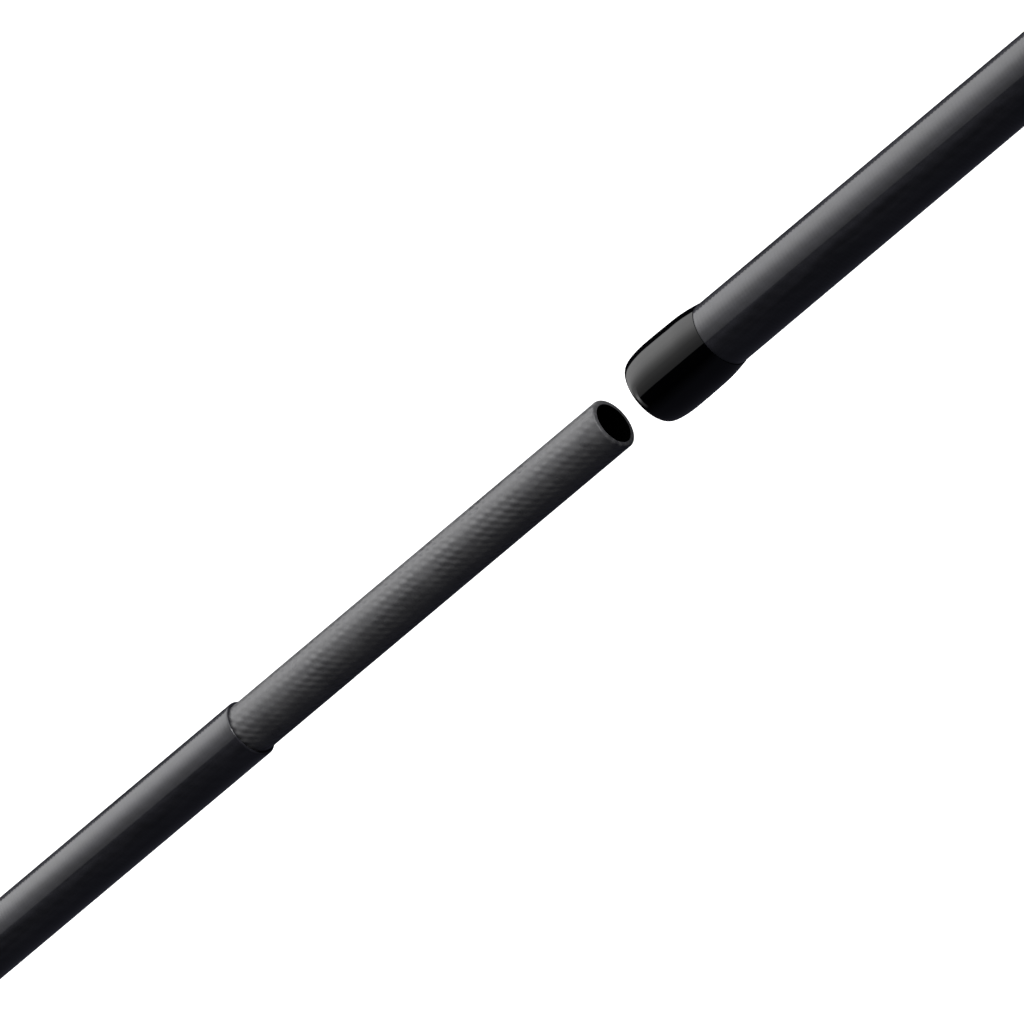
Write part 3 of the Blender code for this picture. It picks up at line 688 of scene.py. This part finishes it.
def build_grips():
    start, end, _ = span("rear_grip")
    points = [
        (start, 12.2 * MM),
        (start + 6 * MM, 12.4 * MM),
        (start + 30 * MM, 12.1 * MM),
        (start + 85 * MM, 10.4 * MM),
        (start + 130 * MM, 10.2 * MM),
        (end - 20 * MM, 11.5 * MM),
        (end - 5 * MM, 11.9 * MM),
        (end, 11.9 * MM),
    ]
    outline = sleeve_on_blank(rounded_course(points, 12, 1.6 * MM))
    adopt(turned("rear_grip_foam", outline, 96), "foam", "rear_grip", "butt_section")
    start, end, _ = span("fore_grip")
    points = [
        (start, 11.6 * MM),
        (start + 5 * MM, 11.8 * MM),
        (start + 20 * MM, 10.8 * MM),
        (end - 12 * MM, 8.9 * MM),
        (end, 8.0 * MM),
    ]
    outline = sleeve_on_blank(rounded_course(points, 12, 1.2 * MM))
    adopt(turned("fore_grip_foam", outline, 96), "foam", "fore_grip", "butt_section")


def build_seat():
    """The seat barrel: a cut thread, the saddle, and flats that keep the hoods from turning."""
    start, end, radius = span("reel_seat_body")
    thread_end = start + 52 * MM
    saddle = (start + 54.5 * MM, start + 77.5 * MM)
    front_stop = end - 1 * MM - HOOD_BACK
    key_start = start + 15 * MM
    bore = radius_at(BUTT_OUTSIDE, start) + 1.4 * MM
    thread_radius = 9.2 * MM

    def shape(x, r, angle):
        if r < bore + 0.3 * MM:
            return r
        if start + 1 * MM < x < thread_end - 1.5 * MM:
            turn = ((x - start) / THREAD_PITCH - angle / math.tau) % 1.0
            r -= 0.55 * MM * (1 - smooth(abs(turn - 0.5) * 3.4 - 0.3))
        down = math.cos(angle)
        if down < 0.3:
            return r
        if saddle[0] < x < saddle[1]:
            return min(r, SADDLE_DROP / down)
        if key_start < x < front_stop:
            return min(r, HOOD_FLAT_DROP / down)
        return r

    outline = [(start, thread_radius - 0.5 * MM), (start + 0.5 * MM, thread_radius)]
    outline += [(x, thread_radius) for x in stations(start + 1 * MM, thread_end, 51 * 6)]
    outline += [(thread_end + 0.2 * MM, radius)]
    edges = []
    for cut in (*saddle, front_stop):
        edges += [cut - 0.02 * MM, cut + 0.02 * MM]
    plain = sorted([*stations(thread_end + 1 * MM, end - 0.5 * MM, 30), *edges])
    outline += [(x, radius) for x in plain]
    outline += [(end, radius - 0.5 * MM), (end, bore), (start, bore)]
    adopt(turned("seat_barrel", outline, 144, shape), "seat", "reel_seat_body", "butt_section")


def boxed(depth, half_width, angle):
    """How far a box hung under the axis reaches at this angle from straight down."""
    down = math.cos(angle)
    across = abs(math.sin(angle))
    if down <= 0.05:
        return 0.0
    return min(depth / down, half_width / max(across, 1e-6))


def build_hood(node, name, body, back_first):
    """A pressed hood: a sleeve with a hump below it, hollow and open towards the reel foot."""
    start, end, _ = span(node)
    radius = 11.8 * MM
    edge = 0.7 * MM
    back = start + HOOD_BACK if back_first else end - HOOD_BACK

    def soft_max(one, two):
        blend = 0.9 * MM
        gap = one - two
        return (one + two + math.sqrt(gap * gap + blend * blend)) / 2 - 0.5 * blend * 0.3

    def shape(x, r, angle):
        if r > HOOD_BORE + 0.2 * MM:
            along = min(x - start, end - x) / (1.4 * MM)
            hump = boxed(POCKET_DEPTH + POCKET_WALL, POCKET_HALF_WIDTH + POCKET_WALL, angle)
            rise = smooth(along + 0.25)
            if hump <= radius:
                return r
            return min(r + (soft_max(hump, radius) - radius) * rise, hump)
        in_pocket = x > back if back_first else x < back
        return max(HOOD_BORE, boxed(POCKET_DEPTH, POCKET_HALF_WIDTH, angle)) if in_pocket else HOOD_BORE

    middle = stations(start + edge, end - edge, 16)
    outline = arc(start + edge, radius - edge, edge, 180, 90, 4)
    outline += [(x, radius) for x in middle[1:-1]]
    outline += arc(end - edge, radius - edge, edge, 90, 0, 4)
    inside = [end, back + 0.02 * MM, back - 0.02 * MM, start]
    outline += [(x, HOOD_BORE) for x in inside]
    adopt(turned(name, outline, 240, shape), "hood", node, body)


def build_nut():
    start, end, radius = span("lock_nut")
    edge = 0.5 * MM
    knurl_start = start + 1.6 * MM
    knurl_end = end - 3.8 * MM

    def knurl(x, r, angle):
        if r < radius - 0.1 * MM or not knurl_start < x < knurl_end:
            return r
        return r - 0.55 * MM * max(0.0, math.cos(angle * 30)) ** 2

    outline = arc(start + edge, radius - 0.7 * MM - edge, edge, 180, 90, 4)
    outline += [(start + 1.2 * MM, radius)]
    outline += [(x, radius) for x in stations(knurl_start, knurl_end, 12)]
    outline += [(end - 3.5 * MM, radius), (end - 3.3 * MM, radius - 0.25 * MM)]
    outline += arc(end - 0.3 * MM, radius - 1.5 * MM, 0.3 * MM, 80, 0, 4)
    outline += [(end, NUT_BORE), (start, NUT_BORE)]
    adopt(turned("knurled_nut", outline, 360, knurl), "nut", "lock_nut", "nut")


def build_arbors():
    for node in ("rear_arbor", "front_arbor"):
        start, end, radius = span(node)
        outline = [(x, radius - 0.05 * MM) for x in stations(start, end, 12)]
        name = node.replace("arbor", "tape_arbor")
        adopt(turned(name, sleeve_on_blank(outline), 64), "arbor", node, "butt_section")


# ---- guides, keeper and tip-top ----


def build_wrap(node, name, blank, origin, body, foot_side, foot):
    """Thread under epoxy on the blank, humped below over the guide foot.
    foot is (thickness, half width), and foot_side is +1 where the foot enters from -X."""
    start, end, widest = span(node)
    depth, half_width = foot
    count = 44
    ramp_length = min(2.6 * MM, (end - start) / 4)
    top = max(0.35 * MM, 0.22 * depth + 0.2 * MM)

    def shape(x, r, angle):
        base = radius_at(blank, x - origin)
        if r < base + 0.115 * MM and not start < x < end:
            return r
        if r <= base + SLIP + 1e-7:
            return r
        rise = smooth(min((x - start), (end - x)) / ramp_length)
        over = base + 0.12 * MM + top * rise
        hump = boxed(base + depth + 0.35 * MM, half_width + 0.5 * MM, angle)
        away = (x - start) if foot_side > 0 else (end - x)
        length = end - start
        cover = 1 - smooth((away - length * 0.55) / (length * 0.42))
        entry = smooth(away / (1.2 * MM)) * 0.5 + 0.5
        lift = max(0.0, min(hump, widest - 0.02 * MM) - over) * cover * entry
        soft = math.exp(-((angle if angle < math.pi else math.tau - angle) / 0.9) ** 4)
        return over + lift * soft

    outside = stations(start, end, count)
    outline = [(x, radius_at(blank, x - origin) + 0.12 * MM) for x in outside]
    outline += [(x, radius_at(blank, x - origin) + SLIP) for x in (end, start)]
    adopt(turned(name, outline, 72, shape), "wrap", node, body)


def build_guide(node, size, blank, origin, body):
    """A guide: bent wire legs, a flat foot, a ring holder and a polished ceramic ring."""
    two_footed = node in TWO_FOOTED
    wire = 0.4 * MM + 0.024 * size
    insert = 0.4 * MM + 0.022 * size
    foot_thick = 0.8 * wire + 0.1 * MM
    foot_width = 1.2 * MM + 0.07 * size
    foot_length = 6 * MM + 0.34 * size
    low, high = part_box(node + "_ring")
    centre = Vector([(a + b) / 2 for a, b in zip(low, high)])
    blank_radius = radius_at(blank, centre.x - origin - foot_length) + SLIP
    holder = size / 2 + SLIP + wire
    reach = 0.75 * size + 2 * MM
    wire_z = -(blank_radius + SLIP + wire)

    def foot_section(share):
        width = foot_width / foot_thick * (1.0 - 0.35 * share)
        return width, 1.0 - 0.55 * smooth(share * 1.2 - 0.2)

    mesh = bmesh.new()
    add_ring(mesh, centre, holder, wire, GUIDE_LEAN, flat=1.0)
    for toward in (1, -1) if two_footed else (1,):
        for side in (1, -1):
            angle = math.radians(58 if toward > 0 else 28)
            up = holder * math.cos(angle)
            out = side * holder * math.sin(angle)
            edge = side * wire
            route = [
                centre + Vector((-math.sin(GUIDE_LEAN) * up, out, math.cos(GUIDE_LEAN) * up)),
                Vector((centre.x + toward * 0.72 * reach, edge * 1.5, wire_z - 0.10 * size)),
                Vector((centre.x + toward * reach, edge, wire_z)),
                Vector((centre.x + toward * (reach + 2.5 * MM), edge * 0.8, wire_z + 0.1 * wire)),
            ]
            add_tube(mesh, route, wire * 0.8)
        near = centre.x + toward * (reach - 0.6 * MM)
        far = centre.x + toward * (reach + foot_length)
        foot_z = -blank_radius - SLIP - foot_thick / 2

        points = [Vector((near + (far - near) * q, 0, foot_z)) for q in (0, 0.25, 0.5, 0.75, 1)]
        add_tube(mesh, points, foot_thick / 2, 12, foot_section)
    adopt(made_from(node + "_wirework", mesh), "frame", node + "_frame", body)

    mesh = bmesh.new()
    add_ring(mesh, centre, size / 2 - insert, insert * 0.98, GUIDE_LEAN, 80, 20, 1.0)
    adopt(made_from(node + "_insert", mesh), "ceramic", node + "_ring", body)

    foot = (foot_thick, foot_width / 2)
    if two_footed:
        build_wrap(node + "_front_wrap", node + "_front_thread", blank, origin, body, 1, foot)
        build_wrap(node + "_rear_wrap", node + "_rear_thread", blank, origin, body, -1, foot)
    else:
        build_wrap(node + "_wrap", node + "_thread", blank, origin, body, 1, foot)


def build_keeper():
    low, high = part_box("keeper_arch")
    x = (low[0] + high[0]) / 2
    wire = 0.5 * MM
    foot_z = high[2] - wire
    peak = low[2] + wire
    half = (high[0] - low[0]) / 2
    route = [
        (x - half + 0.2 * MM, 0, foot_z),
        (x - 7 * MM, 0, foot_z),
        (x - 4.2 * MM, 0, foot_z),
        (x - 2.2 * MM, 0, peak + 0.4 * MM),
        (x, 0, peak),
        (x + 2.2 * MM, 0, peak + 0.4 * MM),
        (x + 4.2 * MM, 0, foot_z),
        (x + 7 * MM, 0, foot_z),
        (x + half - 0.2 * MM, 0, foot_z),
    ]
    mesh = bmesh.new()
    add_tube(mesh, route, wire)
    adopt(made_from("keeper_wire", mesh), "frame", "keeper_arch", "butt_section")
    low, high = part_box("keeper_ring")
    centre = [(a + b) / 2 for a, b in zip(low, high)]
    mesh = bmesh.new()
    add_ring(mesh, centre, 4.0 * MM, wire * 0.96, 0.0, 64, 14)
    adopt(made_from("keeper_loop_wire", mesh), "frame", "keeper_ring", "keeper_loop")
    foot = (2 * wire, wire)
    build_wrap("keeper_rear_wrap", "keeper_rear_thread", BUTT_OUTSIDE, 0.0, "butt_section", -1, foot)
    build_wrap("keeper_front_wrap", "keeper_front_thread", BUTT_OUTSIDE, 0.0, "butt_section", 1, foot)


def build_tip_top():
    start = MOUTH + TIP_END - 10 * MM
    inner = radius_at(TIP_OUTSIDE, TIP_END - 10 * MM) + SLIP
    outer = inner + 0.4 * MM
    end = start + 12.5 * MM
    stop = MOUTH + TIP_END + 0.3 * MM
    outline = [(stop, 0), (stop, inner), (start, inner)]
    outline += arc(start + 0.1 * MM, outer - 0.1 * MM, 0.1 * MM, 180, 90, 3)
    outline += arc(end - 0.6 * MM, outer - 0.6 * MM, 0.6 * MM, 90, 0, 5)
    outline += [(end, 0)]
    tube = turned("tip_top_tube", outline, 64)
    adopt(tube, "frame", "tip_top_frame", "tip_section")

    wire = 0.4 * MM + 0.024 * TIP_RING_SIZE
    insert = 0.4 * MM + 0.022 * TIP_RING_SIZE
    holder = TIP_RING_SIZE / 2 + SLIP + wire
    low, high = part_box("tip_top_ring")
    centre = Vector([(a + b) / 2 for a, b in zip(low, high)])
    down = Vector((math.sin(TIP_TOP_LEAN), 0, -math.cos(TIP_TOP_LEAN)))
    mesh = bmesh.new()
    add_ring(mesh, centre, holder, wire, TIP_TOP_LEAN)
    for side in (1, -1):
        across = Vector((0, side, 0))
        route = [
            Vector((start + 3.5 * MM, side * 0.6 * MM, -outer - 0.1 * MM)),
            Vector((start + 7.5 * MM, side * 0.8 * MM, -outer - 0.2 * MM)),
            centre + Vector((-1.2 * MM, side * 2.4 * MM, -0.55 * holder)),
            centre + down * 0.5 * holder + across * 0.86 * holder,
        ]
        add_tube(mesh, route, wire * 0.75)
    neck = Vector((end - 1.6 * MM, 0, 0))
    top = centre - down * holder
    add_tube(mesh, [neck, (neck + top) / 2, top], wire * 0.9)
    struts = made_from("tip_top_wirework", mesh)
    adopt(struts, "frame", "tip_top_frame", "tip_section")

    mesh = bmesh.new()
    add_ring(mesh, centre, TIP_RING_SIZE / 2 - insert, insert * 0.98, TIP_TOP_LEAN, 64, 16)
    adopt(made_from("tip_top_insert", mesh), "ceramic", "tip_top_ring", "tip_section")
    build_wrap(
        "tip_top_wrap", "tip_top_thread", TIP_OUTSIDE, MOUTH, "tip_section", 1, (0.05 * MM, 0.05 * MM)
    )


# ---- stage ----


def view_basis():
    """Right, up and back of the camera, so that the rod rises to the right across the frame."""
    azimuth = math.asin(math.sin(TILT) / math.cos(ELEVATION))
    back = Vector(
        (
            math.sin(azimuth) * math.cos(ELEVATION),
            -math.cos(azimuth) * math.cos(ELEVATION),
            math.sin(ELEVATION),
        )
    )
    along = (Vector((1, 0, 0)) - back * back.x).normalized()
    across = back.cross(along)
    right = along * math.cos(IMAGE_ANGLE) - across * math.sin(IMAGE_ANGLE)
    up = along * math.sin(IMAGE_ANGLE) + across * math.cos(IMAGE_ANGLE)
    return right, up, back, across


def build_camera():
    right, up, back, across = view_basis()
    target = Vector((SPIGOT_TIP - AIM_BEHIND, 0, 0)) - across * AIM_BELOW
    data = bpy.data.cameras.new("camera")
    data.lens = LENS
    data.sensor_width = 36.0
    data.clip_start = 0.05
    data.clip_end = 60.0
    camera = bpy.data.objects.new("camera", data)
    bpy.context.scene.collection.objects.link(camera)
    camera.matrix_world = Matrix.Translation(target + back * DISTANCE) @ Matrix(
        (right, up, back)
    ).transposed().to_4x4()
    bpy.context.scene.camera = camera


def build_stage():
    low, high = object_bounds()
    mesh = bmesh.new()
    bmesh.ops.create_grid(mesh, x_segments=1, y_segments=1, size=12)
    floor = made_from("floor", mesh)
    floor.location = ((low[0] + high[0]) / 2, 0, low[2] - FLOOR_DROP)
    look = Look("pale_floor", (0.80, 0.80, 0.80), 0.9)
    look.shader.inputs["Emission Color"].default_value = (1.0, 1.0, 1.0, 1.0)
    look.shader.inputs["Emission Strength"].default_value = 0.9
    floor.data.materials.append(look.material)
    floor.visible_glossy = False
    floor.visible_diffuse = False
    floor.visible_transmission = False


def build_world():
    """White behind the object. In what the object reflects, a dim bluish glow from below only."""
    world = bpy.data.worlds.new("studio")
    bpy.context.scene.world = world
    world.use_nodes = True
    tree = world.node_tree
    tree.nodes.clear()
    seen = tree.nodes.new("ShaderNodeLightPath").outputs["Is Camera Ray"]
    white = tree.nodes.new("ShaderNodeBackground")
    white.inputs[0].default_value = (1.0, 1.0, 1.0, 1.0)
    white.inputs[1].default_value = 1.05
    parts = tree.nodes.new("ShaderNodeSeparateXYZ")
    glow = tree.nodes.new("ShaderNodeMapRange")
    for socket, number in zip(RANGE_SOCKETS, (-0.05, -0.5, 0.003, AMBIENT)):
        glow.inputs[socket].default_value = number
    tree.links.new(tree.nodes.new("ShaderNodeTexCoord").outputs["Generated"], parts.inputs[0])
    tree.links.new(parts.outputs[2], glow.inputs["Value"])
    dim = tree.nodes.new("ShaderNodeBackground")
    dim.inputs[0].default_value = (0.72, 0.74, 1.0, 1.0)
    tree.links.new(glow.outputs[0], dim.inputs[1])
    mix = tree.nodes.new("ShaderNodeMixShader")
    out = tree.nodes.new("ShaderNodeOutputWorld")
    tree.links.new(seen, mix.inputs[0])
    tree.links.new(dim.outputs[0], mix.inputs[1])
    tree.links.new(white.outputs[0], mix.inputs[2])
    tree.links.new(mix.outputs[0], out.inputs[0])


def add_area_light(name, length, width, radiance, centre, long_axis, toward):
    """A rectangular light at the centre, facing back along the toward direction."""
    data = bpy.data.lights.new(name, "AREA")
    data.shape = "RECTANGLE"
    data.size = length
    data.size_y = width
    data.energy = radiance * length * width * math.pi
    light = bpy.data.objects.new(name, data)
    bpy.context.scene.collection.objects.link(light)
    sideways = toward.cross(long_axis).normalized()
    long_axis = sideways.cross(toward)
    light.matrix_world = Matrix.Translation(centre) @ Matrix(
        (long_axis, sideways, toward)
    ).transposed().to_4x4()
    light.visible_camera = False
    return data


def grade_light(data, levels):
    """Varies a light's strength across its width."""
    data.use_nodes = True
    tree = data.node_tree
    place = tree.nodes.new("ShaderNodeTexCoord")
    parts = tree.nodes.new("ShaderNodeSeparateXYZ")
    grade = tree.nodes.new("ShaderNodeValToRGB")
    elements = grade.color_ramp.elements
    while len(elements) < len(levels):
        elements.new(0.5)
    for element, (position, level) in zip(elements, levels):
        element.position = position
        element.color = (level, level, level, 1.0)
    tree.links.new(place.outputs["UV"], parts.inputs[0])
    tree.links.new(parts.outputs[1], grade.inputs[0])
    tree.links.new(grade.outputs[0], tree.nodes["Emission"].inputs["Color"])


def build_lights():
    """One long softbox beside and above the rod, brightest across its middle. It is laid so that
    its reflection starts near the middle of the rod and stops short of its upper edge. One card
    far beyond the butt puts a thin rim of light on the nose of the collar, and one far beyond the
    tip lights the cut end of the spigot."""
    _, _, back, across = view_basis()
    along = Vector((1, 0, 0))
    facing = (back - along * back.x).normalized()
    middle = (SOFTBOX_FROM + SOFTBOX_TO) / 2
    toward = facing * math.cos(middle) + across * math.sin(middle)
    width = 2 * SOFTBOX_DISTANCE * math.tan((SOFTBOX_TO - SOFTBOX_FROM) / 2)
    joint = Vector(((SHOULDER + MOUTH) / 2, 0, 0))
    centre = joint - along * SOFTBOX_DISTANCE + toward * SOFTBOX_DISTANCE
    data = add_area_light("softbox", SOFTBOX_LENGTH, width, SOFTBOX_RADIANCE, centre, along, toward)
    grade_light(data, SOFTBOX_LEVELS)

    # Their directions are along the rod, towards the camera's side, and up across the rod.
    cards = (
        ("rim_card", MOUTH, (-0.88, 0.48, 0.10), (0.55, 2.6), 2.3, RIM_LEVELS),
        ("end_card", SPIGOT_TIP, (0.93, 0.15, 0.32), (0.6, 0.6), 18.0, EVEN_LEVELS),
    )
    for name, x, direction, (length, width), radiance, levels in cards:
        toward = along * direction[0] + facing * direction[1] + across * direction[2]
        toward.normalize()
        centre = Vector((x, 0, 0)) + toward * CARD_AWAY
        card = add_area_light(
            name, length, width, radiance, centre, across.cross(toward), toward
        )
        grade_light(card, levels)


def main():
    build_camera()
    build_butt_blank()
    build_spigot()
    build_tip_blank()
    build_collar()
    build_cap()
    build_trims()
    build_grips()
    build_seat()
    build_hood("movable_hood", "sliding_hood", "hood_slider", True)
    build_hood("fixed_hood", "front_hood", "butt_section", False)
    build_nut()
    build_arbors()
    build_keeper()
    build_guide("guide_1", TWO_FOOTED["guide_1"], BUTT_OUTSIDE, 0.0, "butt_section")
    build_guide("guide_2", TWO_FOOTED["guide_2"], TIP_OUTSIDE, MOUTH, "tip_section")
    for node, size in ONE_FOOTED.items():
        build_guide(node, size, TIP_OUTSIDE, MOUTH, "tip_section")
    build_tip_top()
    build_world()
    build_lights()
    build_stage()
    scene = bpy.context.scene
    scene.view_settings.view_transform = "Standard"
    scene.view_settings.look = "None"


main()
